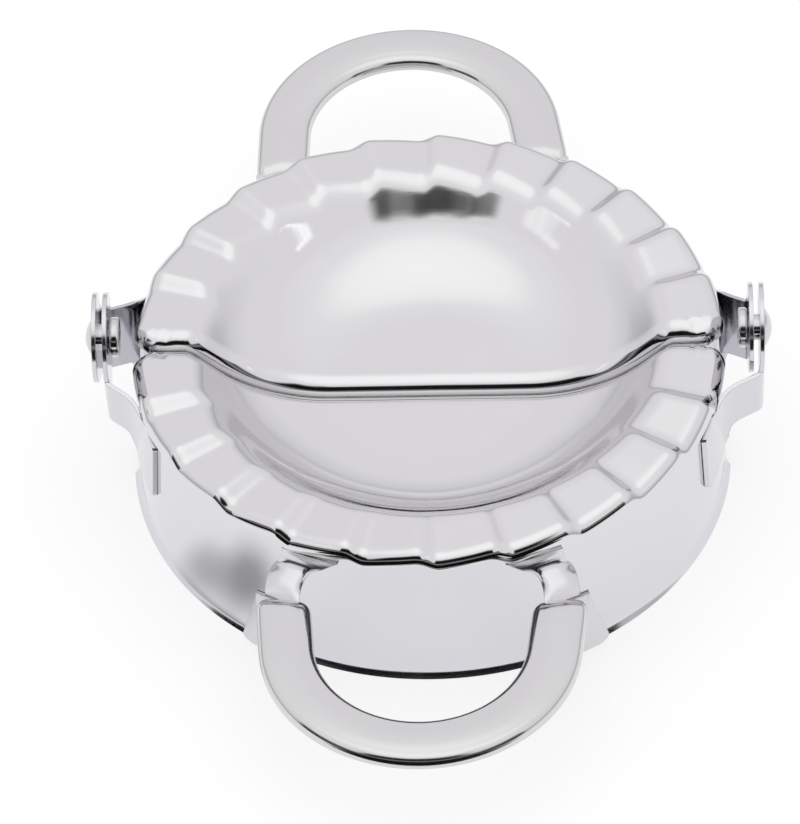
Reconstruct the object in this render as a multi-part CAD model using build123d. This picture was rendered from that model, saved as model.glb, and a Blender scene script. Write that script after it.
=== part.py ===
from build123d import *
from math import cos, hypot, radians, sin, tan
import os

# Empanada press, lying open: two alike half-moon moulds, hinged at both ends of
# their straight edge. X runs along the hinge, +Y is the rear half, +Z is up.
# Heights below are measured from the rim plane, and export lifts them by ring_height.

# Mould shells
rim_radius = 47.4  # outside of the fluted rim
flute_width = 9.9  # from the rim in to the sharp mouth of the bowl
flute_height = 1.5  # valley to peak at the rim
flute_pitch = 14.4  # degrees
flutes_each_side = 5  # on each side of the middle flute
steep_angle = 4.7  # degrees of each pitch that the short steep face takes
mould_sheet = 0.6
lip_depth = 2.5  # of the turned-down rim and straight edge
bowl_depth = 11.4
bowl_slope = 45.0  # degrees, of the bowl's side
bowl_blend = 25.0  # radius between side and floor
fold_gap = 1.0  # between the two halves
mouth_round = 3.5  # outer radius where the flutes run into the bowl
rim_round = 1.8  # outer radius of the rim
fold_round = 2.5  # outer radius of the straight edge

# Cutter rings
ring_height = 27.3
ring_sheet = 0.6
ring_draft = 1.2  # how far the wall leans out over its height
foot_height = 2.2
foot_flare = 0.8
seam_gap = 0.05  # between pieces welded face to face
ring_top_gap = 0.5  # ring to lip, all round
ring_top_room = 0.3  # from the ring to the underside of the flutes' valleys

# Hinge
hinge_rise = 1.6  # axis above the rim plane
ear_radius = 7.2
ear_gap = 3.8  # from the rim to the middle of the inner ears
ear_spacing = 1.7  # between the middles of inner and outer ear
strap_sheet = 0.7
strap_bend = 7.9  # from the axis to the bend beside the ear, at its top edge
strap_fold = 1.5  # bend radius beside the ear, in the middle of the sheet
strap_lean = 0.237  # how far the bends lean in for each millimetre down
strap_elbow = 13.0  # degrees from the hinge line to the second bend
strap_elbow_gap = 1.1  # from the rim to that bend
strap_elbow_fold = 8.0  # its radius
strap_contact = 20.5  # degrees from the hinge line, where the strap meets the ring
strap_end = 22.4  # degrees from the hinge line
strap_tops = (-0.6, -1.5, -4.9, -5.8)  # top edge at the bend, elbow, contact and end
strap_bottoms = (-11.2, -12.0, -16.8)  # bottom edge at the bend, before the flap and along it
strap_flap = 8.0  # from the axis to the front of the deeper flap
strap_corner = 0.8  # corner radius at the strap's end
strap_notch = 1.5  # radius between flange and flap

# Rivets
rivet_radius = 2.1
rivet_clearance = 0.05
rivet_head_radius = 3.2
rivet_head_height = 1.25
rivet_play = 0.1  # under the head
rivet_tail_radius = 3.2  # of the rolled-over end
rivet_tail_length = 1.6
rivet_tail_edge = 0.5  # edge radius of the rolled end
rivet_bore = 1.3
rivet_bore_depth = 2.0

# Handles
bow_radius = 21.0  # middle line of the handle's bow
bow_reach = 10.2  # centre of the bow beyond the rim
leg_splay = 5.0  # degrees that each leg leans out towards the ring
leg_gap = 2.4  # from the rim to the curve that trims the legs, in the middle
leg_trim_radius = 113.0  # of that curve
leg_start = 0.7  # of the ring's top radius, where the legs begin before that trim
handle_width = 8.0
handle_depth = 2.4
handle_crown = 0.25
handle_sheet = 0.8
handle_edge = 2.0  # outer edge radius
handle_drop = 7.5  # top of the handle below the rim plane
rear_handle_turn = 3.6  # degrees round the ring: the handles sit a little to the left
front_handle_turn = -1.3

# Handle brackets
bracket_sheet = 0.7
bracket_top = 3.5  # below the rim plane
bracket_bend = 5.6  # below the rim plane, where the ramp leaves the ring
bracket_gap = 3.4  # from the rim to the foot of the ramp
bracket_fold = 1.0  # bend radius
bracket_tab = 4.0  # length from there, most of it inside the leg
bracket_wing = 3.5  # how far the flange runs past the ramp
bracket_skew = 0.9  # how far its root leans towards the middle of the press
leg_side_gap = 0.9  # bracket and stay to the leg's skirts

# Handle stays
stay_sheet = 0.7
stay_gap = 4.7  # from the rim to the stay's fold
stay_tab = 3.0
stay_floor_gap = 0.15
stay_flare = 1.8  # width gained at once below the leg
stay_foot_flare = 3.3  # and on the way down to the floor
stay_corner = 1.5
stay_ring_gap = 0.1

ring_top_radius = rim_radius - mould_sheet - ring_top_gap
ring_top = -mould_sheet - flute_height / 2 - ring_top_room
foot_top = foot_height - ring_height
bowl_mouth = rim_radius - flute_width
ear_reach = rim_radius + ear_gap
ramp_foot = rim_radius + bracket_gap
stay_fold = rim_radius + stay_gap
tab_height = -handle_drop - handle_sheet - handle_crown - seam_gap - bracket_sheet / 2
leg_low = -handle_drop - handle_depth - seam_gap
far = 2 * rim_radius
hair = 0.01  # tolerance for telling edges apart


def ring_outside(z):
    """Outer radius of the ring's wall at height z."""
    return ring_top_radius + ring_draft * (ring_top - z) / (ring_top - foot_top)


def behind(y):
    """All space at and beyond y."""
    return Pos(0, y + far / 2, 0) * Box(2 * far, far, 2 * far)


def column(radius):
    """Tall round column in the middle of the press."""
    return Cylinder(radius, 2 * far)


def turned(section):
    """Section in radius and height, turned round the middle of the press."""
    return revolve(Plane.XZ * section, Axis.Z)


def crease(angle, rise, reach):
    """Point on a fold line of the flutes, with its angle clockwise from +Y."""
    x = reach * sin(radians(angle))
    y = reach * cos(radians(angle))
    return (x, y, rise * reach / rim_radius)


def flute_creases(reach):
    """Fold lines from the left of the hinge line round to its right."""
    points = [crease(-90, 0, reach)]
    for step in range(-flutes_each_side, flutes_each_side + 1):
        middle = step * flute_pitch
        points.append(crease(middle - steep_angle / 2, -flute_height / 2, reach))
        points.append(crease(middle + steep_angle / 2, flute_height / 2, reach))
    points.append(crease(90, 0, reach))
    return points


def fluted_block(drop):
    """Half-round block whose top is a fan of flat facets that meet in the middle."""
    floor = -far
    middle = (0, 0, -drop)
    tops = [(x, y, z - drop) for x, y, z in flute_creases(far)]
    feet = [(x, y, floor) for x, y, z in tops]
    sides = [tops[0], middle, tops[-1], feet[-1], feet[0]]
    faces = [Face(Wire.make_polygon(sides)), Face(Wire.make_polygon(feet))]
    for left in range(len(tops) - 1):
        right = left + 1
        faces.append(Face(Wire.make_polygon([middle, tops[left], tops[right]])))
        faces.append(Face(Wire.make_polygon([tops[left], tops[right], feet[right], feet[left]])))
    return Solid(Shell(faces))


def bowl_side(grow):
    """Section of the bowl's hollow, made larger all round by grow."""
    blend = bowl_blend + grow
    side_rise = tan(radians(bowl_slope))
    blend_rise = bowl_blend * (1 - cos(radians(bowl_slope)))
    floor_radius = bowl_mouth - (bowl_depth - blend_rise) / side_rise
    floor_radius -= bowl_blend * sin(radians(bowl_slope))
    floor = -bowl_depth - grow
    base = Line((0, floor), (floor_radius, floor))
    curve = JernArc(base @ 1, (1, 0), blend, bowl_slope)
    side = PolarLine(curve @ 1, bowl_depth / sin(radians(bowl_slope)), bowl_slope)
    top = (side @ 1).Y
    close = Polyline(side @ 1, (0, top), (0, floor))
    return make_face(base + curve + side + close)


def round_edges(block, radius, lowest, chosen):
    """Round the block's edges whose middles lie above a height and are chosen."""
    edges = [edge for edge in block.edges() if (edge @ 0.5).Z > lowest and chosen(edge @ 0.5)]
    return fillet(edges, radius)


def mould_block(inset):
    """Solid under the moulding surface, or the same moved inwards all round by inset."""
    radius = rim_radius - inset
    fold_y = fold_gap / 2 + inset
    floor = -bowl_depth - inset

    def on_fold(point):
        return abs(point.Y - fold_y) < hair

    def on_rim(point):
        return abs(hypot(point.X, point.Y) - radius) < hair

    def on_mouth(point):
        return abs(hypot(point.X, point.Y) - bowl_mouth) < flute_height and not on_fold(point)

    block = fluted_block(inset) & column(radius) & behind(fold_y)
    block = block - turned(bowl_side(inset))
    block = round_edges(block, mouth_round - inset, -flute_height, on_mouth)
    block = round_edges(block, fold_round - inset, floor - hair, on_fold)
    return round_edges(block, rim_round - inset, -flute_height, on_rim)


def mould_shell():
    """Fluted rim, half bowl, outer lip and turned-down straight edge in one sheet."""
    skin = mould_block(0) - mould_block(mould_sheet)
    return skin - (fluted_block(lip_depth) - turned(bowl_side(lip_depth)))


def cutter_ring():
    """Leaning half-round wall with a flared foot, tucked inside the mould's lip."""
    waist_radius = ring_outside(foot_top)
    outside = [(ring_top_radius, ring_top), (waist_radius, foot_top)]
    outside.append((waist_radius + foot_flare, -ring_height))
    inside = [(radius - ring_sheet, z) for radius, z in reversed(outside)]
    wall = make_face(Polyline(*outside, *inside, close=True))
    return turned(wall) & behind(fold_gap / 2 + fold_round + seam_gap)


def against_ring(z, sheet):
    """Radius of the middle of a sheet that lies on the ring's wall at height z."""
    return ring_outside(z) + seam_gap + sheet / 2


def polar(radius, angle):
    """Plan point at an angle from the hinge line."""
    return (radius * cos(radians(angle)), radius * sin(radians(angle)))


def on_ring(angle):
    """Plan point of a strap's middle line where it lies on the ring's wall."""
    return polar(against_ring(strap_tops[-1], strap_sheet), angle)


def strap_plan(ear_x):
    """Ear and flange of the strap seen from above, cut level with the rim plane."""
    bend = (ear_x, strap_bend - strap_lean * strap_tops[0])
    elbow = polar(rim_radius + strap_elbow_gap, strap_elbow)
    corners = [(ear_x, -ear_radius), bend, elbow, on_ring(strap_contact)]
    line = FilletPolyline(*corners, radius=(strap_fold, strap_elbow_fold))
    return trace(line, line_width=strap_sheet)


def inside_strap():
    """Plan of the ground in front of the strap's second bend and on the ring's side of it."""
    elbow = polar(rim_radius + strap_elbow_gap, strap_elbow)
    contact = on_ring(strap_contact)
    corners = [contact, elbow, (far, elbow[1]), (far, -far), (-far, -far), (-far, contact[1])]
    return make_face(Polyline(*corners, close=True))


def strap_outline():
    """Round ear and the band that runs to the ring, seen along the hinge."""
    elbow_y = polar(rim_radius + strap_elbow_gap, strap_elbow)[1]
    contact_y = on_ring(strap_contact)[1]
    end_y = on_ring(strap_end)[1]
    low_bend_y = strap_bend + strap_lean * (strap_bottoms[0] - strap_tops[0])
    tops = list(zip((strap_bend, elbow_y, contact_y, end_y), strap_tops))
    bottoms = list(zip((low_bend_y, strap_flap, strap_flap), strap_bottoms))
    notch = Vector(*bottoms[1])
    bottoms.append((end_y, strap_bottoms[-1]))
    ear = Pos(0, hinge_rise) * Circle(ear_radius)
    neck = make_hull(ear.edges() + Line(tops[0], bottoms[0]).edges())
    band = make_face(Polyline(*tops, *reversed(bottoms), close=True))
    band = fillet(band.vertices().group_by(Axis.X)[-1], strap_corner)
    return neck + fillet(band.vertices().sort_by_distance(notch)[0], strap_notch)


def wall_strip(sheet, top, floor):
    """Sheet all round the ring, lying on its wall between two heights."""
    high = (against_ring(top, sheet), top)
    low = (against_ring(floor, sheet), floor)
    return turned(trace(Polyline(high, low), line_width=sheet))


def sloping(plan):
    """Plan shape drawn down from the rim plane along the lean of the strap's bends."""
    return extrude(plan, amount=ring_height, dir=(0, -strap_lean, -1))


def inside_ring():
    """Everything that the ring's wall encloses, and the wall itself."""
    high = (ring_outside(0) + seam_gap, 0)
    low = (ring_outside(foot_top) + seam_gap, foot_top)
    return turned(make_face(Polyline((0, 0), high, low, (0, foot_top), close=True)))


def inside_lip():
    """Everything that the mould's lip encloses, and the lip itself."""
    depth = lip_depth + flute_height / 2 + seam_gap
    return Pos(0, 0, -depth / 2) * Cylinder(rim_radius + seam_gap, depth)


def hinge_hole(radius):
    """Round hole along the hinge axis."""
    return Pos(0, 0, hinge_rise) * Rot(0, 90, 0) * Cylinder(radius, 2 * far)


def hinge_strap(ear_x):
    """Sheet strap on the +X side: an ear on the hinge, bent in to hug the ring."""
    plan = strap_plan(ear_x)
    flange = sloping(plan) + extrude(plan, amount=hinge_rise + ear_radius)
    hug = wall_strip(strap_sheet, strap_tops[0], foot_top) - sloping(inside_strap())
    side = extrude(Plane.YZ * strap_outline(), amount=far)
    strap = (flange + hug) & side
    return strap - inside_ring() - inside_lip() - hinge_hole(rivet_radius + rivet_clearance)


def rivet():
    """Loose hinge rivet on the +X side: domed head outside, rolled tubular end inside."""
    collar = ear_reach - strap_sheet / 2 - rivet_play
    tail = collar - rivet_tail_length
    head = ear_reach + ear_spacing + strap_sheet / 2 + rivet_play
    dome_height = rivet_head_height
    dome_radius = (rivet_head_radius**2 + dome_height**2) / (2 * dome_height)
    dome = RadiusArc((head, rivet_head_radius), (head + dome_height, 0), dome_radius)
    body = Polyline(
        (head + dome_height, 0),
        (tail + rivet_bore_depth, 0),
        (tail + rivet_bore_depth, rivet_bore),
        (tail, rivet_bore),
        (tail, rivet_tail_radius),
        (collar, rivet_tail_radius),
        (collar, rivet_radius),
        (head, rivet_radius),
        (head, rivet_head_radius),
    )
    section = make_face(dome + body)
    rolled = [corner for corner in section.vertices() if corner.X <= collar and corner.Y > rivet_radius]
    section = fillet([corner for corner in rolled if corner.Y > rivet_bore], rivet_tail_edge)
    return Pos(0, 0, hinge_rise) * revolve(Plane.XZ * section, Axis.X)


def leg_middle(y):
    """Distance of a leg's middle line from the handle's own middle, at a place along Y."""
    splay = radians(leg_splay)
    joint_y = rim_radius + bow_reach + bow_radius * sin(splay)
    return bow_radius * cos(splay) + (joint_y - y) * tan(splay)


def handle_bar():
    """Bow of rounded channel, open below, with splayed legs that run on past the ring."""
    splay = radians(leg_splay)
    middle_y = rim_radius + bow_reach
    joint = (bow_radius * cos(splay), middle_y + bow_radius * sin(splay))
    root_y = leg_start * ring_top_radius
    root = (leg_middle(root_y), root_y)
    left_leg = Line((-root[0], root[1]), (-joint[0], joint[1]))
    bow = ThreePointArc(left_leg @ 1, (0, middle_y + bow_radius), joint)
    path = left_leg + bow + Line(joint, root)
    along = left_leg % 0
    start = Plane(left_leg @ 0, x_dir=Vector(0, 0, 1).cross(along), z_dir=along)
    skirt = (handle_width - handle_sheet) / 2
    shoulder = -handle_sheet / 2 - handle_crown
    corner = handle_edge - handle_sheet / 2
    channel = FilletPolyline(
        (-skirt, -handle_depth),
        (-skirt, shoulder),
        (0, -handle_sheet / 2),
        (skirt, shoulder),
        (skirt, -handle_depth),
        radius=(corner, handle_width, corner),
    )
    section = (start * trace(channel, line_width=handle_sheet)).face()
    return sweep(section, path=path)


def leg_trim():
    """Tall round column that trims both leg ends."""
    return Pos(0, rim_radius + leg_gap - leg_trim_radius) * column(leg_trim_radius)


def handle_piece():
    """Bow and legs set in place, with the leg ends trimmed."""
    return Pos(0, 0, -handle_drop) * handle_bar() - leg_trim()


def leg_side(side, radius):
    """Inner face of the +X leg's skirt at a radius, side -1 towards the middle, 1 away."""
    half_width = handle_width / 2 - handle_sheet - leg_side_gap
    x = leg_middle(rim_radius) + side * half_width
    return Vector(x, (radius**2 - x**2) ** 0.5)


def tab_prism(foot, tab):
    """Upright shape of a strip that comes off the ring and runs on inside the leg."""
    into_leg = Vector(-sin(radians(leg_splay)), cos(radians(leg_splay))) * tab
    corners = [leg_side(-1, foot), leg_side(1, foot)]
    roots = [corner * (ring_top_radius / foot) - Vector(bracket_skew, 0) for corner in corners]
    tips = [corner + into_leg for corner in corners]
    outline = [roots[0], corners[0], tips[0], tips[1], corners[1], roots[1]]
    plan = make_face(Polyline(*[(point.X, point.Y) for point in outline], close=True))
    return extrude(plan, amount=-ring_height)


def handle_bracket():
    """Strip on the +X side: down the ring, out along a ramp, then under the leg's web."""
    high = (against_ring(-bracket_top, bracket_sheet), -bracket_top)
    bend = (against_ring(-bracket_bend, bracket_sheet), -bracket_bend)
    tab_end = (ramp_foot + bracket_tab, tab_height)
    line = FilletPolyline(high, bend, (ramp_foot, tab_height), tab_end, radius=bracket_fold)
    strip = turned(trace(line, line_width=bracket_sheet)) & tab_prism(ramp_foot, 2 * bracket_tab)
    wing_x = leg_side(-1, ramp_foot).X * ring_top_radius / ramp_foot - bracket_skew
    wing_block = Pos(wing_x, ring_top_radius, 0) * Box(2 * bracket_wing, far, far)
    wing = wall_strip(bracket_sheet, -bracket_top, -bracket_bend) & wing_block & behind(0)
    return strip + wing


def handle_stay():
    """Plate on the +X side: under the bracket's tab, then down to the foot of the ring."""
    tab_z = tab_height - (bracket_sheet + stay_sheet) / 2 - seam_gap
    foot_z = stay_floor_gap - ring_height
    foot_radius = ring_outside(foot_top) + foot_flare + stay_ring_gap + stay_sheet / 2
    foot = (foot_radius, foot_z)
    line = FilletPolyline((stay_fold + stay_tab, tab_z), (stay_fold, tab_z), foot, radius=bracket_fold)
    body = turned(trace(line, line_width=stay_sheet)) & behind(0)
    inner = leg_side(-1, stay_fold).X
    outer = leg_side(1, stay_fold).X + stay_flare
    corners = [(inner, leg_low), (outer, leg_low), (outer + stay_foot_flare, foot_z), (inner, foot_z)]
    plate = fillet(make_face(Polyline(*corners, close=True)).vertices().sort_by(Axis.X)[-1], stay_corner)
    plate = extrude(Plane.XZ * plate, amount=-far)
    above_skirts = Pos(0, 0, leg_low + far / 2) * Box(2 * far, 2 * far, far)
    return body & (plate + (tab_prism(stay_fold, stay_tab) & above_skirts))


def handle_pieces(right, left):
    """Handle with its brackets and stays, the +X side under the name right."""
    bracket = handle_bracket()
    stay = handle_stay()
    return {
        "handle": handle_piece(),
        f"{right}_handle_bracket": bracket,
        f"{left}_handle_bracket": mirror(bracket, about=Plane.YZ),
        f"{right}_handle_stay": stay,
        f"{left}_handle_stay": mirror(stay, about=Plane.YZ),
    }


def press():
    """Every piece by name: the front half is the rear half turned about the upright axis."""
    alike = {
        "mould_shell": mould_shell(),
        "cutter_ring": cutter_ring(),
        "inner_hinge_strap": hinge_strap(ear_reach),
        "outer_hinge_strap": mirror(hinge_strap(ear_reach + ear_spacing), about=Plane.YZ),
    }
    rear = Rot(0, 0, 0), Rot(0, 0, rear_handle_turn), handle_pieces("right", "left")
    front = Rot(0, 0, 180), Rot(0, 0, 180 + front_handle_turn), handle_pieces("left", "right")
    pieces = {}
    for half, (turn, handle_turn, handle_set) in {"rear": rear, "front": front}.items():
        pieces |= {f"{half}_{name}": turn * piece for name, piece in alike.items()}
        pieces |= {f"{half}_{name}": handle_turn * piece for name, piece in handle_set.items()}
    pieces["right_hinge_rivet"] = rivet()
    pieces["left_hinge_rivet"] = mirror(rivet(), about=Plane.YZ)
    return pieces


os.makedirs("parts", exist_ok=True)
for name, piece in press().items():
    solids = (Pos(0, 0, ring_height) * piece).solids()
    export_step(Compound(label=name, children=solids), f"parts/{name}.step")
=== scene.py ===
import bpy
import math
import numpy as np
from mathutils import Matrix, Vector, noise


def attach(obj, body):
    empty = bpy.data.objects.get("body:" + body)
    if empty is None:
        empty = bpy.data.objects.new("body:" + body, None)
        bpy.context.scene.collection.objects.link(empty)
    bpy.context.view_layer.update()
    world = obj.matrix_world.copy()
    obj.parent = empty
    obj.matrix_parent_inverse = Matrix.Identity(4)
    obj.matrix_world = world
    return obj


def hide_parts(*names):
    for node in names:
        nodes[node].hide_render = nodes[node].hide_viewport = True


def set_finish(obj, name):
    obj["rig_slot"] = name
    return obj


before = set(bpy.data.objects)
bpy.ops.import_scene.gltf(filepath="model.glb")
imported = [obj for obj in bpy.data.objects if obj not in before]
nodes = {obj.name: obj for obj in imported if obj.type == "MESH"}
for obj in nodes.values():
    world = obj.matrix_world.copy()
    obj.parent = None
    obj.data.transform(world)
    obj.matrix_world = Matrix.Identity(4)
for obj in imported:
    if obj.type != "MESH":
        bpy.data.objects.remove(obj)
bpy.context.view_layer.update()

scene = bpy.context.scene
scene.view_settings.view_transform = "Standard"
print("frame loaded:", len(nodes), "nodes")


def join(tree, source, target):
    # a link from an output, or a plain number or colour put on the socket
    if isinstance(source, bpy.types.NodeSocket):
        tree.links.new(source, target)
    else:
        target.default_value = source


def calc(tree, operation, *values, clamp=False):
    node = tree.nodes.new("ShaderNodeMath")
    node.operation = operation
    node.use_clamp = clamp
    for value, socket in zip(values, node.inputs):
        join(tree, value, socket)
    return node.outputs[0]


def spread(tree, value, lowest, highest, first=0.0, last=1.0):
    # value from lowest to highest becomes first to last, eased at both ends
    node = tree.nodes.new("ShaderNodeMapRange")
    node.interpolation_type = "SMOOTHSTEP"
    ends = {"From Min": lowest, "From Max": highest, "To Min": first, "To Max": last}
    for name, number in ends.items():
        join(tree, number, node.inputs[name])
    join(tree, value, node.inputs["Value"])
    return node.outputs[0]


def cloud(tree, place, scale, detail=2.0, rough=0.5, stretch=None):
    # noise from 0 to 1 at a place; stretch gives each axis its own scale
    if stretch:
        pull = tree.nodes.new("ShaderNodeVectorMath")
        pull.operation = "MULTIPLY"
        pull.inputs[1].default_value = stretch
        join(tree, place, pull.inputs[0])
        place = pull.outputs[0]
    node = tree.nodes.new("ShaderNodeTexNoise")
    join(tree, place, node.inputs["Vector"])
    join(tree, scale, node.inputs["Scale"])
    node.inputs["Detail"].default_value = detail
    node.inputs["Roughness"].default_value = rough
    return node.outputs["Fac"]


def apart(tree, place, spot):
    # distance from a fixed spot
    node = tree.nodes.new("ShaderNodeVectorMath")
    node.operation = "DISTANCE"
    join(tree, place, node.inputs[0])
    node.inputs[1].default_value = spot
    return node.outputs["Value"]


def position(tree):
    return tree.nodes.new("ShaderNodeNewGeometry").outputs["Position"]


def mixShaders(tree, share, first, second):
    # the first shader gives way to the second as share goes from 0 to 1
    node = tree.nodes.new("ShaderNodeMixShader")
    for source, socket in zip((share, first, second), node.inputs):
        join(tree, source, socket)
    return node.outputs[0]


def rampOf(tree, value, steps):
    # colours run into each other from step to step, each step a place from 0 to 1 and a colour
    node = tree.nodes.new("ShaderNodeValToRGB")
    join(tree, value, node.inputs[0])
    stops = node.color_ramp.elements
    while len(stops) < len(steps):
        stops.new(0.5)                # moved to its own place below
    for stop, (place, colour) in zip(stops, steps):
        stop.position = place
        stop.color = (*colour, 1)
    return node.outputs[0]


def emptyPaint(name):
    # a material, its empty tree and the socket that its shader goes to
    paint = bpy.data.materials.new(name)
    paint.use_nodes = True
    tree = paint.node_tree
    tree.nodes.clear()
    return paint, tree, tree.nodes.new("ShaderNodeOutputMaterial").inputs["Surface"]


rimHeight = 0.0273                    # plane of both rims; camera and lamps aim at its middle

camera = {
    "distance": 1.05,
    "elevation": 45.9,
    "turn": -1.69,
    "roll": 2.11,
    "lens": 288.05,
    "sensor": 36,
    "clip": (0.05, 20),
    "aimRight": -0.00454,             # what is in the middle of the view, from the rims' middle
    "aimUp": -0.01159,
}


def placeCamera():
    tilt, turn, roll = (math.radians(camera[k]) for k in ("elevation", "turn", "roll"))
    level = Vector((math.sin(turn), math.cos(turn), 0))
    across = Vector((math.cos(turn), -math.sin(turn), 0))
    ahead = level * math.cos(tilt) - Vector((0, 0, math.sin(tilt)))
    above = level * math.sin(tilt) + Vector((0, 0, math.cos(tilt)))
    right = across * math.cos(roll) - above * math.sin(roll)
    up = across * math.sin(roll) + above * math.cos(roll)
    rim = Vector((0, 0, rimHeight))
    spot = rim - ahead * camera["distance"]
    back = (spot - rim - right * camera["aimRight"] - up * camera["aimUp"]).normalized()
    side = up.cross(back).normalized()
    top = back.cross(side)
    lens = bpy.data.cameras.new("pressCamera")
    lens.lens = camera["lens"]
    lens.sensor_width = camera["sensor"]
    lens.clip_start, lens.clip_end = camera["clip"]
    eye = bpy.data.objects.new("pressCamera", lens)
    eye.matrix_world = Matrix.Translation(spot) @ Matrix((side, top, back)).transposed().to_4x4()
    scene.collection.objects.link(eye)
    scene.camera = eye


placeCamera()
print("camera placed")


tent = {
    "cloth": [                        # colours from straight down at 0 to straight up at 1
        (0.00, (0.84, 0.83, 0.85)),
        (0.49, (0.50, 0.50, 0.51)),
        (0.55, (0.60, 0.60, 0.61)),
        (0.62, (0.82, 0.81, 0.83)),
        (0.72, (0.93, 0.92, 0.94)),
        (0.84, (0.94, 0.925, 0.95)),
        (0.93, (1.00, 0.995, 1.005)),
        (0.965, (1.16, 1.16, 1.16)),
        (1.00, (1.22, 1.22, 1.22)),
    ],
}

worktop = {
    "half": 3.0,                      # half its side
    "paint": 0.36,
    "glow": 0.68,                     # what brings it up to white
    "fade": (0.12, 0.45),             # painted light: from the press, where the glow that the steel sees on the top fades to grey
    "farGlow": 0.35,
    "shade": [                        # painted shadow of the front-left leg and bracket on the top: darker patches that only the steel sees
        {"middle": (-0.0415, -0.0405, 0), "edge": (0.002, 0.012), "left": 0.15},
        {"middle": (-0.0440, -0.0300, 0), "edge": (0.001, 0.009), "left": 0.45},
    ],
}

# azimuths count from +Y towards +X; bloom is where each soft spot starts and stops fading, row
# has the spots' azimuths from the lamp's, and stagger is how much further off each next one is
softboxes = [
    {
        "name": "rightFrontBox", "azimuth": 112, "elevation": 37, "away": 1.4,
        "wide": 0.24, "tall": 0.05, "bright": 1.2,
        "glow": 1.4, "bloom": (0.005, 0.05), "row": (-4.2, -1.4, 1.4, 4.2), "stagger": 0.01,
    },
    {
        "name": "leftFrontBox", "azimuth": -116, "elevation": 38.5, "away": 1.4,
        "wide": 0.24, "tall": 0.05, "bright": 1.2,
        "glow": 1.15, "bloom": (0.01, 0.11), "row": (-9, -3, 3, 9), "stagger": 0.01,
    },
]

darkRoom = {
    "near": 0.11, "nearHalf": 0.08,   # where its floor starts towards -Y, and half its width there
    "far": 1.2, "farHalf": 0.90,      # its back wall, and half the wall's width
    "aside": -0.13, "tall": 1.9,      # the wall's middle along X, and its height
    "floorLift": 0.0002,
    "soft": 0.26,                     # length of each end of the wall over which the cloth comes in
    "ragged": 0.34, "waves": 2.6,     # how uneven the tones' borders are
    "cloth": (0.55, 0.80),            # heights over which it comes in there
    "leftWing": (-1.45, -0.35), "rightWing": (1.21, -0.65), "wingTall": 0.82,
    "tones": [                        # share of the height, and grey
        (0.0, 0.004), (0.16, 0.004), (0.24, 0.30), (0.32, 0.006),
        (0.62, 0.006), (0.69, 0.12), (0.84, 0.92),
    ],
}


def hangTent():
    world = bpy.data.worlds.new("lightTent")
    world.use_nodes = True
    tree = world.node_tree
    tree.nodes.clear()
    split = tree.nodes.new("ShaderNodeSeparateXYZ")
    join(tree, tree.nodes.new("ShaderNodeTexCoord").outputs["Generated"], split.inputs[0])
    height = calc(tree, "MULTIPLY_ADD", split.outputs["Z"], 0.5, 0.5)    # -1 to 1 made 0 to 1
    cloth, white = (tree.nodes.new("ShaderNodeBackground") for k in range(2))
    join(tree, rampOf(tree, height, tent["cloth"]), cloth.inputs["Color"])
    join(tree, (1, 1, 1, 1), white.inputs["Color"])
    seen = tree.nodes.new("ShaderNodeLightPath").outputs["Is Camera Ray"]
    both = mixShaders(tree, seen, cloth.outputs[0], white.outputs[0])
    join(tree, both, tree.nodes.new("ShaderNodeOutputWorld").inputs["Surface"])
    scene.world = world


def flatPiece(name, corners, paint):
    mesh = bpy.data.meshes.new(name)
    mesh.from_pydata(corners, [], [tuple(range(len(corners)))])
    mesh.materials.append(paint)
    piece = bpy.data.objects.new(name, mesh)
    scene.collection.objects.link(piece)
    return piece


def worktopPaint():
    # white where camera and steel see it, with the press's own shadow kept; what the steel sees
    # also has painted light that falls off away from the press, and painted shadow patches
    paint, tree, surface = emptyPaint("whiteWorktop")
    matt = tree.nodes.new("ShaderNodeBsdfDiffuse")
    matt.inputs["Color"].default_value = (worktop["paint"],) * 3 + (1,)
    rays = tree.nodes.new("ShaderNodeLightPath").outputs
    place = position(tree)
    # painted light for the steel only: full glow near the press, greyer further off
    paintedLightAndShade = spread(tree, apart(tree, place, (0, 0, 0)), *worktop["fade"], 1.0, worktop["farGlow"])
    # painted shadow: darker patches in the glow that only the steel sees
    for patch in worktop["shade"]:
        away = apart(tree, place, patch["middle"])
        paintedLightAndShade = calc(tree, "MULTIPLY", paintedLightAndShade, spread(tree, away, *patch["edge"], patch["left"], 1.0))
    seen = calc(tree, "MULTIPLY_ADD", rays["Is Glossy Ray"], paintedLightAndShade, rays["Is Camera Ray"])
    seen = calc(tree, "ADD", seen, rays["Is Transmission Ray"], clamp=True)
    glow = tree.nodes.new("ShaderNodeEmission")
    join(tree, calc(tree, "MULTIPLY", seen, worktop["glow"]), glow.inputs["Strength"])
    both = tree.nodes.new("ShaderNodeAddShader")
    join(tree, matt.outputs[0], both.inputs[0])
    join(tree, glow.outputs[0], both.inputs[1])
    join(tree, both.outputs[0], surface)
    return paint


def layWorktop():
    h = worktop["half"]
    flatPiece("worktop", [(-h, -h, 0), (h, -h, 0), (h, h, 0), (-h, h, 0)], worktopPaint())


def bloomPaint(box, middle):
    # bright in the middle and fading out to nothing
    paint, tree, surface = emptyPaint(box["name"] + "Bloom")
    share = spread(tree, apart(tree, position(tree), middle), *box["bloom"], 1.0, 0.0)
    nothing = tree.nodes.new("ShaderNodeBsdfTransparent")
    glow = tree.nodes.new("ShaderNodeEmission")
    glow.inputs["Strength"].default_value = box["glow"]
    join(tree, mixShaders(tree, share, nothing.outputs[0], glow.outputs[0]), surface)
    return paint


def outward(azimuth, elevation):
    # one metre from the press in that direction
    a, e = math.radians(azimuth), math.radians(elevation)
    return Vector((math.sin(a) * math.cos(e), math.cos(a) * math.cos(e), math.sin(e)))


def onlyForSteel(piece):
    piece.visible_camera = False
    piece.visible_diffuse = False
    piece.visible_shadow = False
    piece.visible_transmission = False


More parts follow.
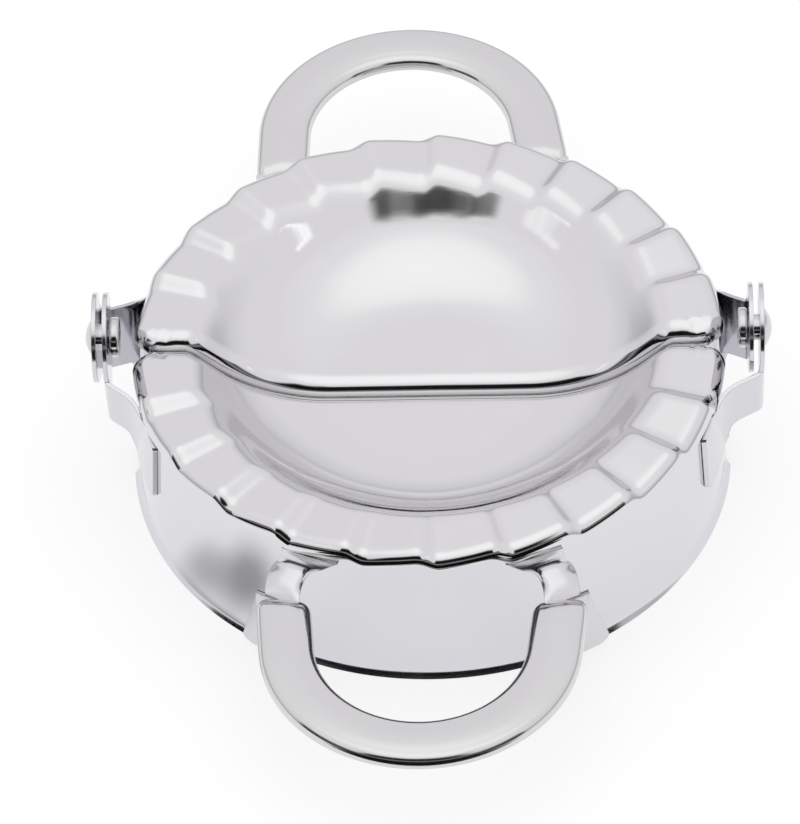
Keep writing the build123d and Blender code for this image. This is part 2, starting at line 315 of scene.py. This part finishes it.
def setSoftboxes():
    # each is a lamp for the worktop and a row of soft blooms for the steel to mirror
    square = ((-1, -1), (1, -1), (1, 1), (-1, 1))
    rim = Vector((0, 0, rimHeight))
    for box in softboxes:
        lamp = bpy.data.lights.new(box["name"], "AREA")
        lamp.shape = "RECTANGLE"
        lamp.size = box["wide"]
        lamp.size_y = box["tall"]
        lamp.energy = box["bright"] * math.pi * box["wide"] * box["tall"]
        out = outward(box["azimuth"], box["elevation"])
        held = bpy.data.objects.new(box["name"], lamp)
        turned = out.to_track_quat("Z", "Y").to_matrix().to_4x4()
        held.matrix_world = Matrix.Translation(rim + out * box["away"]) @ turned
        held.visible_camera = False
        held.visible_glossy = False
        scene.collection.objects.link(held)
        reach = box["bloom"][1]
        for place, aside in enumerate(box["row"]):
            out = outward(box["azimuth"] + aside, box["elevation"])
            middle = rim + out * (box["away"] + box["stagger"] * place)
            across = out.cross((0, 0, 1)).normalized() * reach
            rise = across.cross(out)
            corners = [middle + across * u + rise * v for u, v in square]
            name = f"{box['name']}Bloom{place}"
            onlyForSteel(flatPiece(name, corners, bloomPaint(box, middle)))


def roomPaint():
    # dark, with a pale strip low down and the tent's cloth above and at the ends
    paint, tree, surface = emptyPaint("darkRoom")
    place = position(tree)
    split = tree.nodes.new("ShaderNodeSeparateXYZ")
    join(tree, place, split.inputs[0])
    ragged, half = darkRoom["ragged"], darkRoom["farHalf"]
    wave = cloud(tree, place, darkRoom["waves"])
    wave = calc(tree, "MULTIPLY_ADD", wave, ragged, 1 - ragged / 2)
    share = calc(tree, "DIVIDE", wave, darkRoom["tall"])
    share = calc(tree, "MULTIPLY", split.outputs["Z"], share)
    tones = rampOf(tree, share, [(height, (tone,) * 3) for height, tone in darkRoom["tones"]])
    cloth = darkRoom["tones"][-1][1]
    aside = calc(tree, "ABSOLUTE", calc(tree, "SUBTRACT", split.outputs["X"], darkRoom["aside"]))
    ends = spread(tree, aside, half - darkRoom["soft"], half, 0.0, cloth)
    ends = calc(tree, "MULTIPLY", ends, spread(tree, split.outputs["Z"], *darkRoom["cloth"]))
    glow = tree.nodes.new("ShaderNodeEmission")
    join(tree, calc(tree, "MAXIMUM", tones, ends), glow.inputs["Color"])
    join(tree, glow.outputs[0], surface)
    return paint


def darkenRoom():
    # floor, back wall and two low wings, which only the steel's reflections see
    paint = roomPaint()
    near, far, lift = -darkRoom["near"], -darkRoom["far"], darkRoom["floorLift"]
    n, tall, wingTall = darkRoom["nearHalf"], darkRoom["tall"], darkRoom["wingTall"]
    left, right = (darkRoom["aside"] + side * darkRoom["farHalf"] for side in (-1, 1))
    ground = [(-n, near, lift), (left, far, lift), (right, far, lift), (n, near, lift)]
    wall = [(left, far, 0), (left, far, tall), (right, far, tall), (right, far, 0)]
    sheets = [("roomFloor", ground), ("roomWall", wall)]
    for name, end in (("leftWing", left), ("rightWing", right)):
        inner, outer = (end, far), darkRoom[name]
        corners = [(*inner, 0), (*inner, wingTall), (*outer, wingTall), (*outer, 0)]
        sheets.append((name, corners))
    for name, corners in sheets:
        onlyForSteel(flatPiece(name, corners, paint))


hangTent()
layWorktop()
setSoftboxes()
darkenRoom()
print("tent, worktop and lamps set")


mould = {
    "rim": 0.0474,                    # outer radius
    "foldEdge": 0.0005,               # from the hinge line to the straight edge
    "sheet": 0.0006,
    "fluteHeight": 0.0015,
    "pitch": 14.4,                    # degrees from flute to flute
    "steep": 3.1,                     # degrees that a steep face takes
    "eachSide": 5,                    # flutes on each side of the middle one
    "creaseBlur": 0.0012,             # length of sheet that a crease is rounded over
    "bowlMouth": 0.0375,              # radius where the bowl's wall meets the rim plane
    "bowlDepth": 0.0114,
    "bowlSlope": 45.0,
    "bowlBlend": 0.025,               # radius between the bowl's floor and wall
    "mouthBlend": 0.0019,             # height over which flutes and bowl run into each other
    "rimRound": 0.0023,
    "foldRound": 0.0031,
    "cornerRound": 0.0012,
    "lip": 0.0026,                    # how far the turned edge comes down
    "lipLeft": 0.00005,               # least length of sheet below a round
    "heart": (0.0, 0.012),            # on the bowl's flat floor, where the mesh rows meet
    "rimSteps": 360,
    "foldSteps": 110,
    "cornerSteps": 8,
    "lipSteps": 8,
    "fluteRows": 30,
    "bowlRows": 10,
    "fluteReach": 0.6,                # share of the way out where the fine rows start
    "floorReach": 0.08,
    "gatherAt": (0.0435, 0.0018),     # where the fold's sheet is gathered, on both sides
    "gatherWide": (0.0024, 0.0019),
    "gatherGrain": (900, 520),
    "gather": 0.0009,
    "waveGrain": 95, "waveLayer": 3.7,    # slight waves all over, cut from one layer of noise
    "wave": 0.00007,
}


def fluteWave(angle, reach):
    # saw wave from -1 to 1, averaged along the sheet so that each crease is rounded
    bends, heights = [-90.0], [0.0]
    for step in range(-mould["eachSide"], mould["eachSide"] + 1):
        for side in (-1, 1):
            bends.append(step * mould["pitch"] + side * mould["steep"] / 2)
            heights.append(side)
    bends.append(90.0)
    heights.append(0.0)
    blur = np.degrees(mould["creaseBlur"] / np.maximum(reach, mould["creaseBlur"]))
    weights = (1, 3, 6, 10, 12, 10, 6, 3, 1)
    wave = 0
    for weight, shift in zip(weights, np.linspace(-1, 1, len(weights))):
        wave = wave + weight * np.interp(angle + shift * blur, bends, heights)
    return wave / sum(weights)


def bowlHeight(reach):
    # flat floor, a curve and a straight slope up to the mouth
    slope = math.radians(mould["bowlSlope"])
    blend, depth = mould["bowlBlend"], mould["bowlDepth"]
    rise = blend * (1 - math.cos(slope))
    start = mould["bowlMouth"] - (depth - rise) / math.tan(slope) - blend * math.sin(slope)
    across = np.clip(reach - start, 0, blend * math.sin(slope))
    curved = blend - np.sqrt(blend**2 - across**2) - depth
    straight = np.maximum(reach - start - blend * math.sin(slope), 0) * math.tan(slope)
    return curved + straight


def mouldHeight(x, y):
    # height of the moulding surface above the rim plane
    reach = np.hypot(x, y)
    wave = fluteWave(np.degrees(np.arctan2(x, y)), reach)
    flange = mould["fluteHeight"] / 2 * reach / mould["rim"] * wave
    bowl = bowlHeight(reach)
    near = np.clip(1 - np.abs(flange - bowl) / mould["mouthBlend"], 0, 1)
    return np.minimum(flange, bowl) - mould["mouthBlend"] * near**2 / 4


def mouldOutline():
    # skeleton points, outward directions and edge radii, once round the half moon
    rimRound, foldRound = mould["rimRound"], mould["foldRound"]
    arc = mould["rim"] - rimRound - mould["cornerRound"]
    edge = mould["foldEdge"] + foldRound + mould["cornerRound"]
    far = math.asin(edge / arc)
    corner = arc * math.cos(far)
    rows = []
    for k in range(mould["rimSteps"]):
        a = far + (math.pi - 2 * far) * k / mould["rimSteps"]
        rows.append((arc * math.cos(a), arc * math.sin(a), math.cos(a), math.sin(a), rimRound))
    for k in range(mould["cornerSteps"]):
        s = k / mould["cornerSteps"]
        a = math.pi - far + (math.pi / 2 + far) * s
        radius = rimRound + (foldRound - rimRound) * s
        rows.append((-corner, edge, math.cos(a), math.sin(a), radius))
    for k in range(mould["foldSteps"]):
        rows.append((corner * (2 * k / mould["foldSteps"] - 1), edge, 0.0, -1.0, foldRound))
    for k in range(mould["cornerSteps"]):
        s = k / mould["cornerSteps"]
        a = -math.pi / 2 + (math.pi / 2 + far) * s
        radius = foldRound + (rimRound - foldRound) * s
        rows.append((corner, edge, math.cos(a), math.sin(a), radius))
    return np.array(rows)


def mouldSurface():
    # grid of points: from the lip's lower edge over the rim and flutes to the bowl floor
    x, y, outX, outY, radius = mouldOutline().T
    x, y = x + outX * mould["cornerRound"], y + outY * mould["cornerRound"]
    along = np.abs(outY) * (outY < 0)
    rows = []

    def addRow(px, py, drop):
        # along the fold line the drop is made longer where the flutes slope
        step = 1e-5
        tilt = (mouldHeight(px + step, py) - mouldHeight(px - step, py)) / (2 * step)
        height = mouldHeight(px, py) - drop * np.sqrt(1 + along * tilt**2)
        rows.append(np.stack([px, py, height], 1))

    lip = np.maximum(mould["lip"], radius + mould["lipLeft"])
    addRow(x + outX * radius, y + outY * radius, lip)
    for step in range(mould["lipSteps"], 0, -1):
        turn = math.pi / 2 * step / mould["lipSteps"]
        px, py = (c + out * radius * math.sin(turn) for c, out in ((x, outX), (y, outY)))
        addRow(px, py, radius * (1 - math.cos(turn)))
    heartX, heartY = mould["heart"]
    shares = list(np.linspace(1, mould["fluteReach"], mould["fluteRows"]))
    shares += list(np.linspace(mould["fluteReach"], mould["floorReach"], mould["bowlRows"] + 1)[1:])
    for share in shares:
        addRow(heartX + (x - heartX) * share, heartY + (y - heartY) * share, np.zeros_like(x))
    return np.array(rows)


def crumple(points):
    # sheet gathered where the straight edge runs out at the rim, and slight waves all over
    atX, atY = mould["gatherAt"]
    wideX, wideY = mould["gatherWide"]
    grainX, grain = mould["gatherGrain"]
    broadGrain = mould["waveGrain"]
    for row in points:
        for point in row:
            x, y, z = point
            near = math.exp(-(((abs(x) - atX) / wideX) ** 2) - ((y - atY) / wideY) ** 2)
            fine = noise.noise(Vector((x * grainX, y * grain, z * grain)))
            broad = noise.noise(Vector((x * broadGrain, y * broadGrain, mould["waveLayer"])))
            point[2] += near * fine * mould["gather"] + broad * mould["wave"]
    return points


sharpFold = 50.0                      # degrees from which a fold is shaded as an edge


def sheetMesh(name, top, sheet, facing, closed=False):
    # solid sheet under a grid of points; facing is any direction on the shown side, and in a
    # closed sheet the columns go all the way round and the last row is filled in
    def normals(grid):
        if closed:
            across = np.roll(grid, -1, 1) - np.roll(grid, 1, 1)
        else:
            across = np.gradient(grid, axis=1)
        normal = np.cross(across, np.gradient(grid, axis=0))
        return normal / np.linalg.norm(normal, axis=2, keepdims=True)

    normal = normals(top)
    if normal[-1, len(top[0]) // 2] @ np.array(facing) < 0:
        top = top[:, ::-1]
        normal = normals(top)
    rows, count = top.shape[:2]
    verts = np.concatenate([top.reshape(-1, 3), (top - normal * sheet).reshape(-1, 3)])
    below = rows * count
    last = below - count
    around = [(k, (k + 1) % count) for k in range(count if closed else count - 1)]
    faces = []
    for i in range(0, last, count):
        for k, n in around:
            a, b, c, d = i + k, i + n, i + count + n, i + count + k
            faces += [(a, b, c, d), (below + d, below + c, below + b, below + a)]
    for k, n in around:
        faces.append((n, k, below + k, below + n))
        if not closed:
            faces.append((last + k, last + n, below + last + n, below + last + k))
    if closed:
        faces.append(tuple(range(last, below)))
        faces.append(tuple(range(2 * below - 1, below + last - 1, -1)))
    else:
        for i in range(0, last, count):
            a, b, c, d = i, i + count, i + 2 * count - 1, i + count - 1
            faces += [(a, b, below + b, below + a), (c, d, below + d, below + c)]
    mesh = bpy.data.meshes.new(name)
    mesh.from_pydata(verts.tolist(), [], faces)
    mesh.shade_smooth()
    mesh.set_sharp_from_angle(angle=math.radians(sharpFold))
    return mesh


halves = {"rear": 3.6, "front": -1.3}     # degrees that each half's handle sits off the middle
pressed = []


def standFor(mesh, half, node, slot, spin=0.0):
    # puts a mesh in place of a CAD node, turned about the upright axis in degrees
    spin += 180 if half == "front" else 0
    mesh.transform(Matrix.Rotation(math.radians(spin), 4, "Z"))
    piece = bpy.data.objects.new(f"{half}_{node}_sheet", mesh)
    scene.collection.objects.link(piece)
    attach(piece, f"{half}_half")
    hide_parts(f"{half}_{node}")
    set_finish(piece, slot)
    pressed.append(piece)


for half in halves:
    surface = crumple(mouldSurface()) + np.array((0, 0, rimHeight))
    mesh = sheetMesh("mould", surface, mould["sheet"], (0, 0, 1), closed=True)
    standFor(mesh, half, "mould_shell", "mould_steel")
print("mould shells pressed")


ring = {
    "top": 0.02565, "topRadius": 0.0463,
    "sheet": 0.0006,
    "edge": 0.00305,                  # from the hinge line to the ring's ends
    "footCurve": [(0.04745, 0.0027), (0.0475, 0.0016), (0.04775, 0.00125), (0.0483, 0.00035)],
    "wallRows": 24, "footRows": 14, "steps": 240,
    "dent": 0.00010, "dentGrain": (4, 4, 40),
    "dentFade": 0.006,                # height below which the dents die out
}


def curvePoint(points, t):
    # cubic curve through four control points
    a, b, c, d = (np.array(p) for p in points)
    return a * (1 - t) ** 3 + 3 * b * t * (1 - t) ** 2 + 3 * c * t**2 * (1 - t) + d * t**3


def ringSurface():
    # a leaning wall that runs out into a rolled foot
    profile = []
    start = np.array((ring["topRadius"], ring["top"]))
    for t in np.linspace(0, 1, ring["wallRows"], endpoint=False):
        profile.append(start + (np.array(ring["footCurve"][0]) - start) * t)
    profile += [curvePoint(ring["footCurve"], t) for t in np.linspace(0, 1, ring["footRows"])]
    grainX, grainY, grainZ = ring["dentGrain"]
    rows = []
    for radius, z in profile:
        far = math.asin(ring["edge"] / radius)
        fade = min(1.0, z / ring["dentFade"])
        row = []
        for turn in np.linspace(far, math.pi - far, ring["steps"]):
            c, s = math.cos(turn), math.sin(turn)
            dent = noise.noise(Vector((c * grainX, s * grainY, z * grainZ))) * ring["dent"]
            r = radius + dent * fade
            row.append((r * c, r * s, z))
        rows.append(row)
    return np.array(rows)


for half in halves:
    mesh = sheetMesh("ring", ringSurface(), ring["sheet"], (0, 1, 0))
    standFor(mesh, half, "cutter_ring", "ring_steel")
print("cutter rings rolled")


handle = {
    "top": 0.0198,
    "bow": 0.0208, "bowReach": 0.0562,    # radius, and its centre from the hinge line
    "splay": 5.0,
    "halfWidth": 0.0043, "depth": 0.0024, "edge": 0.0016, "crown": 0.0003,
    "sheet": 0.0008,
    "trimRadius": 0.113, "trimReach": 0.0498,     # arc that cuts off the legs by the ring
    "trimFade": 0.006,                # length of leg drawn along with that cut
    "endRound": 0.0028, "endPinch": 0.0008,
    "endTurn": 0.9,                   # share of a quarter turn by which an end is closed down
    "bowSteps": 90, "legSteps": 16, "endSteps": 8, "edgeSteps": 8, "crownSteps": 8,
}


def legMiddle(y):
    splay = math.radians(handle["splay"])
    joint = handle["bowReach"] + handle["bow"] * math.sin(splay)
    return handle["bow"] * math.cos(splay) + (joint - y) * math.tan(splay)


def handleSection():
    # half width and height below the crown, from one skirt's edge over to the other's
    wide, edge, crown = handle["halfWidth"], handle["edge"], handle["crown"]
    side = [(wide, -handle["depth"])]
    for turn in np.linspace(0, math.pi / 2, handle["edgeSteps"], endpoint=False):
        side.append((wide - edge + edge * math.cos(turn), -crown - edge + edge * math.sin(turn)))
    for t in np.linspace(1, 0, handle["crownSteps"]):
        side.append(((wide - edge) * t, -crown * t * t))
    return np.array([(-w, h) for w, h in side] + [(w, h) for w, h in side[-2::-1]])


def handleSurface():
    # a channel bent into a bow, its legs closed down at the ends and cut off along the ring
    bow, bowReach, depth = handle["bow"], handle["bowReach"], handle["depth"]
    splay = math.radians(handle["splay"])
    joint = np.array((bow * math.cos(splay), bowReach + bow * math.sin(splay)))
    trimStart, trimRadius = handle["trimReach"] - handle["trimRadius"], handle["trimRadius"]
    trimX = legMiddle(handle["trimReach"])
    trimY = trimStart + math.sqrt(trimRadius**2 - trimX**2)
    end = np.array((legMiddle(trimY), trimY))
    along = (joint - end) / np.linalg.norm(joint - end)
    closed = along * handle["endRound"]
    path = []                         # place, direction, share of the height, width lost
    for turn in np.linspace(math.pi / 2, 0, handle["endSteps"], endpoint=False):
        share = math.cos(turn * handle["endTurn"])
        pinch = handle["endPinch"] * math.sin(turn) ** 2
        path.append((end + closed * (1 - math.sin(turn)), along, share, pinch))
    for t in np.linspace(0, 1, handle["legSteps"], endpoint=False):
        path.append((end + closed + (joint - end - closed) * t, along, 1, 0))
    for turn in np.linspace(splay, math.pi / 2, handle["bowSteps"] // 2):
        place = np.array((bow * math.cos(turn), bowReach + bow * math.sin(turn)))
        path.append((place, np.array((-math.sin(turn), math.cos(turn))), 1, 0))
    mirrored = [(p * (-1, 1), d * (1, -1), share, pinch) for p, d, share, pinch in path[-2::-1]]
    section = handleSection()
    rows = []
    for place, ahead, share, pinch in path + mirrored:
        beside = np.array((ahead[1], -ahead[0]))
        row = []
        for w, h in section:
            x, y = place + beside * w * (1 - pinch / handle["halfWidth"])
            near = np.clip(1 - (y - trimY) / handle["trimFade"], 0.0, 1.0)
            skew = trimStart - trimY + math.sqrt(trimRadius**2 - x**2)
            lowered = (h + depth) * share - depth
            row.append((x, y + skew * near, handle["top"] + lowered))
        rows.append(row)
    return np.array(rows)


for half, turn in halves.items():
    mesh = sheetMesh("bow", handleSurface(), handle["sheet"], (0, 0, 1))
    standFor(mesh, half, "handle", "handle_steel", turn)
print("handles bent")


def legsOf(half):
    # each leg's hand and side of X, before the front half is turned round
    return (("right", 1), ("left", -1)) if half == "rear" else (("left", 1), ("right", -1))


bracket = {
    "path": [(0.0471, 0.0238), (0.0474, 0.0195), (0.0500, 0.0223), (0.0529, 0.0187)],
    "sheet": 0.0007,
    "rootX": 0.0192, "legX": 0.02177,     # middle at the ring's wall and in the leg
    "halfWidth": 0.0027, "wing": 0.0034,
    "wingEnd": 0.45,                  # share of the way out
    "rows": 28, "columns": 26,
    "hump": (0.2, 0.75),              # where on the way out it starts, and how long it is
    "curl": 0.0013, "curlDrop": 0.6, "curlPower": 3.5,    # how its edges fall away
}


def bracketSurface(side):
    # a pressed hump from the ring's wall into a leg; its wing points to the press's middle
    curl, curlDrop, curlPower = bracket["curl"], bracket["curlDrop"], bracket["curlPower"]
    humpStart, humpLength = bracket["hump"]
    rows = []
    for t in np.linspace(0, 1, bracket["rows"]):
        radius, z = curvePoint(bracket["path"], t)
        ease = t * t * (3 - 2 * t)
        middle = bracket["rootX"] + (bracket["legX"] - bracket["rootX"]) * ease
        wing = bracket["wing"] * (1 - min(t / bracket["wingEnd"], 1)) ** 2
        hump = math.sin(math.pi * min(max((t - humpStart) / humpLength, 0), 1))
        row = []
        for v in np.linspace(-1, 1, bracket["columns"]):
            x = middle + (bracket["halfWidth"] + (wing if v < 0 else 0)) * v
            r = radius - curl * hump * abs(v) ** curlPower
            drop = curlDrop * curl * hump * abs(v) ** curlPower
            row.append((side * x, math.sqrt(r**2 - x**2), z - drop))
        rows.append(row)
    return np.array(rows)


for half, turn in halves.items():
    for hand, side in legsOf(half):
        mesh = sheetMesh("hump", bracketSurface(side), bracket["sheet"], (0, 0.5, 1))
        standFor(mesh, half, f"{hand}_handle_bracket", "bracket_steel", turn)
print("brackets pressed")


stay = {
    "path": [                         # radius, height and the plate's inner and outer X
        (0.0549, 0.01790, 0.0203, 0.0258), (0.0529, 0.01790, 0.0204, 0.0259),
        (0.0525, 0.01775, 0.0206, 0.0260), (0.0523, 0.01735, 0.0212, 0.0261),
        (0.0521, 0.0162, 0.0226, 0.0262), (0.0518, 0.0145, 0.0232, 0.0266),
        (0.0507, 0.0085, 0.0235, 0.0277), (0.0495, 0.0022, 0.0237, 0.0289),
        (0.04935, 0.0012, 0.0239, 0.0287), (0.0492, 0.00055, 0.0242, 0.0281),
        (0.0491, 0.0002, 0.0247, 0.0274),
    ],
    "sheet": 0.0007,
    "rows": 60, "columns": 14,
}


def staySurface(side):
    # a plate that folds down from under a leg, widens and turns in at its foot
    marks = np.array(stay["path"])
    along = np.concatenate([[0], np.cumsum(np.hypot(*np.diff(marks[:, :2], axis=0).T))])
    rows = []
    for reach in np.linspace(0, along[-1], stay["rows"]):
        radius, z, inner, outer = (np.interp(reach, along, marks[:, k]) for k in range(4))
        x = np.linspace(inner, outer, stay["columns"])
        rows.append(np.stack([side * x, np.sqrt(radius**2 - x**2), np.full_like(x, z)], 1))
    return np.array(rows)


for half, turn in halves.items():
    for hand, side in legsOf(half):
        mesh = sheetMesh("plate", staySurface(side), stay["sheet"], (0, 1, 0))
        standFor(mesh, half, f"{hand}_handle_stay", "bracket_steel", turn)
print("stays folded")


skinMarks = {
    "smearScale": 60.0, "smearDetail": 3.0, "smearRough": 0.6,
    "smearEdge": (0.42, 0.72),        # noise from bare steel to full smear
    "streakScale": (60.0, 2600.0, 2600.0),    # rolling lines run along X
    "streakGloss": 0.5,               # how much they dull the steel, as a share of a smear
    "grainDetail": 2.0, "grainRough": 0.6,
}
skinInputs = {                        # group input, and its value in each steel below
    "Tint Swing": "swing",
    "Gloss Loss": "rough",
    "Smear": "smear",
    "Grain Scale": "grainScale",
    "Grain Depth": "grain",
    "Rolling Depth": "rolling",
    "Wave Scale": "waveScale",
    "Wave Depth": "wave",
}


def makeSteelSkin():
    # mill grain, faint rolling lines, hand smears and the slow waves of thin sheet
    group = bpy.data.node_groups.new("steelSkin", "ShaderNodeTree")
    face = group.interface
    face.new_socket("Tint", in_out="INPUT", socket_type="NodeSocketColor")
    for name in skinInputs:
        face.new_socket(name, in_out="INPUT", socket_type="NodeSocketFloat")
    face.new_socket("Color", in_out="OUTPUT", socket_type="NodeSocketColor")
    for name in ("Roughness", "Height"):
        face.new_socket(name, in_out="OUTPUT", socket_type="NodeSocketFloat")
    given = group.nodes.new("NodeGroupInput").outputs
    made = group.nodes.new("NodeGroupOutput").inputs
    place = group.nodes.new("ShaderNodeTexCoord").outputs["Object"]

    smear = cloud(
        group, place, skinMarks["smearScale"], skinMarks["smearDetail"], skinMarks["smearRough"]
    )
    streak = cloud(group, place, 1.0, stretch=skinMarks["streakScale"])
    grain = cloud(
        group, place, given["Grain Scale"], skinMarks["grainDetail"], skinMarks["grainRough"]
    )
    wave = cloud(group, place, given["Wave Scale"], detail=0.0)

    swing = calc(group, "MULTIPLY", calc(group, "SUBTRACT", smear, 0.5), given["Tint Swing"])
    shade = group.nodes.new("ShaderNodeVectorMath")
    shade.operation = "SCALE"
    join(group, given["Tint"], shade.inputs[0])
    join(group, calc(group, "ADD", swing, 1.0), shade.inputs["Scale"])
    join(group, shade.outputs[0], made["Color"])

    smeared = calc(group, "MULTIPLY", spread(group, smear, *skinMarks["smearEdge"]), given["Smear"])
    lined = calc(group, "MULTIPLY", given["Smear"], skinMarks["streakGloss"])
    marked = calc(group, "ADD", smeared, calc(group, "MULTIPLY", streak, lined))
    join(group, calc(group, "ADD", given["Gloss Loss"], marked), made["Roughness"])

    height = calc(group, "MULTIPLY", grain, given["Grain Depth"])
    height = calc(group, "MULTIPLY_ADD", streak, given["Rolling Depth"], height)
    height = calc(group, "MULTIPLY_ADD", wave, given["Wave Depth"], height)
    join(group, height, made["Height"])
    return group


bevelSamples = 6                      # for the edges shaded round


def makeSteel(skin, name, look):
    # soft is the radius that a piece's edges are shaded round with
    steel = bpy.data.materials.new(name)
    steel.use_nodes = True
    tree = steel.node_tree
    shader = tree.nodes["Principled BSDF"]
    shader.inputs["Metallic"].default_value = 1.0
    use = tree.nodes.new("ShaderNodeGroup")
    use.node_tree = skin
    for socket, key in skinInputs.items():
        use.inputs[socket].default_value = look[key]
    use.inputs["Tint"].default_value = (*look["tint"], 1)
    join(tree, use.outputs["Color"], shader.inputs["Base Color"])
    join(tree, use.outputs["Roughness"], shader.inputs["Roughness"])
    bump = tree.nodes.new("ShaderNodeBump")
    bump.inputs["Strength"].default_value = 1.0
    bump.inputs["Distance"].default_value = 1.0
    join(tree, use.outputs["Height"], bump.inputs["Height"])
    if look["soft"]:
        soft = tree.nodes.new("ShaderNodeBevel")
        soft.samples = bevelSamples
        soft.inputs["Radius"].default_value = look["soft"]
        join(tree, soft.outputs[0], bump.inputs["Normal"])
    join(tree, bump.outputs[0], shader.inputs["Normal"])
    return steel


mouldSteel = {
    "tint": (0.719, 0.712, 0.722), "swing": 0.03, "rough": 0.055, "smear": 0.04,
    "grainScale": 2600.0, "grain": 3.0e-7, "rolling": 2.0e-7,
    "waveScale": 90.0, "wave": 5.0e-5, "soft": 0.0,
}
ringSteel = {
    "tint": (0.724, 0.717, 0.753), "swing": 0.04, "rough": 0.10, "smear": 0.06,
    "grainScale": 2200.0, "grain": 5.0e-7, "rolling": 3.0e-7,
    "waveScale": 60.0, "wave": 8.0e-5, "soft": 0.0,
}
handleSteel = {
    "tint": (0.678, 0.672, 0.674), "swing": 0.04, "rough": 0.11, "smear": 0.07,
    "grainScale": 1800.0, "grain": 6.0e-7, "rolling": 5.0e-7,
    "waveScale": 80.0, "wave": 5.0e-5, "soft": 0.0,
}
bracketSteel = {
    "tint": (0.688, 0.682, 0.700), "swing": 0.05, "rough": 0.13, "smear": 0.08,
    "grainScale": 1800.0, "grain": 8.0e-7, "rolling": 5.0e-7,
    "waveScale": 160.0, "wave": 7.0e-5, "soft": 0.00018,
}
strapSteel = {
    "tint": (0.678, 0.672, 0.700), "swing": 0.05, "rough": 0.11, "smear": 0.08,
    "grainScale": 1700.0, "grain": 1.2e-6, "rolling": 5.0e-7,
    "waveScale": 120.0, "wave": 7.0e-5, "soft": 0.00022,
}
rivetSteel = {
    "tint": (0.647, 0.643, 0.651), "swing": 0.04, "rough": 0.09, "smear": 0.06,
    "grainScale": 2400.0, "grain": 6.0e-7, "rolling": 0.0,
    "waveScale": 300.0, "wave": 5.0e-5, "soft": 0.00015,
}

skin = makeSteelSkin()
finishes = {                          # by slot
    "mould_steel": makeSteel(skin, "polishedMould", mouldSteel),
    "ring_steel": makeSteel(skin, "satinRing", ringSteel),
    "handle_steel": makeSteel(skin, "polishedHandle", handleSteel),
    "bracket_steel": makeSteel(skin, "brightBracket", bracketSteel),
    "strap_steel": makeSteel(skin, "brightStrap", strapSteel),
    "rivet_steel": makeSteel(skin, "brightRivet", rivetSteel),
}
for node in nodes.values():
    slot = node.data.materials[0].name.split(".")[0]
    node.data.materials[0] = finishes[slot]
for piece in pressed:
    piece.data.materials.append(finishes[piece["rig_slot"]])
print("steel finishes on")
